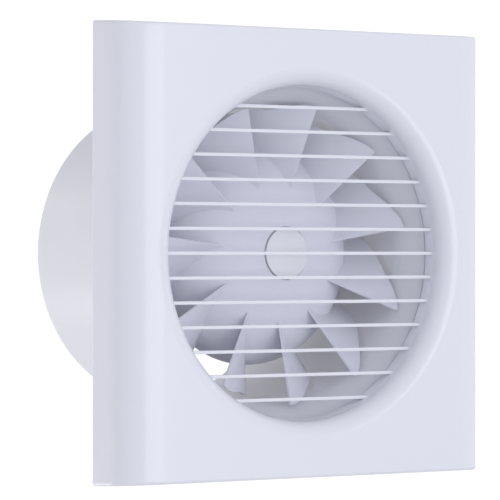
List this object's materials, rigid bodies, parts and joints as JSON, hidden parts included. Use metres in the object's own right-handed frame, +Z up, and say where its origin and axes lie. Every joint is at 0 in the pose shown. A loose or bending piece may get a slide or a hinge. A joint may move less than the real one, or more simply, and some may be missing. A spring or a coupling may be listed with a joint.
{
  "type": "bathroom extractor fan",
  "caption": "Square wall-mounted axial bathroom extractor fan with a round barred inlet, a bladed impeller and a round duct spigot.",
  "frame": {"origin": "on the fan's axis in the plane of the wall, at the centre of the wall screw pattern", "axes": "+Z up, -Y into the room, +Y along the fan's axis into the duct"},
  "size_m": [0.143, 0.0855, 0.144],
  "materials": {
    "white_gloss": "gloss",
    "white_satin": "satin",
    "white_impeller": "satin",
    "white_plate": "satin",
    "zinc_steel": "zinc plated",
    "spring_steel": "oiled",
    "ground_steel": "ground",
    "bearing_steel": "polished",
    "cast_alloy": "as cast",
    "lamination": "laminated",
    "cage_alloy": "as cast",
    "copper_winding": "enamelled copper",
    "bobbin_plastic": "moulded",
    "terminal_plastic": "moulded",
    "terminal_brass": "machined",
    "mount_rubber": "matte",
    "grommet_rubber": "matte",
    "lead_brown": "extruded",
    "lead_blue": "extruded"
  },
  "bodies": {
    "root": {"back_plate": "white_plate", "duct_tube": "white_satin", "tube_screws": "zinc_steel", "motor_cup": "white_plate", "cup_screws": "zinc_steel", "motor_mounts": "mount_rubber", "motor_screws": "zinc_steel", "motor_front_bracket": "cast_alloy", "motor_rear_bracket": "cast_alloy", "motor_bolts": "zinc_steel", "motor_nuts": "zinc_steel", "stator_core": "lamination", "coil_bobbins": "bobbin_plastic", "stator_coils": "copper_winding", "bearing_outer_rings": "bearing_steel", "bearing_balls": "bearing_steel", "terminal_block": "terminal_plastic", "terminal_clamps": "terminal_brass", "terminal_screws": "zinc_steel", "block_screw": "zinc_steel", "cable_clamp": "white_plate", "clamp_screws": "zinc_steel", "cable_grommet": "grommet_rubber", "live_lead": "lead_brown", "neutral_lead": "lead_blue", "wiring_cover": "white_plate", "lid_screw": "zinc_steel"},
    "impeller": {"impeller": "white_impeller", "hub_cap": "white_satin", "impeller_clip": "spring_steel", "motor_shaft": "ground_steel", "rotor_core": "lamination", "rotor_cage": "cage_alloy", "bearing_inner_rings": "bearing_steel"},
    "front_cover": {"front_cover": "white_gloss"}
  },
  "joints": [
    {"name": "impeller_spin", "type": "hinge", "parent": "root", "child": "impeller", "pos_m": [0, 0.02, 0], "axis": [0, 1, 0], "continuous": true},
    {"name": "cover_pull_off", "type": "slide", "parent": "root", "child": "front_cover", "axis": [0, -1, 0], "range_m": [0, 0.06]}
  ]
}
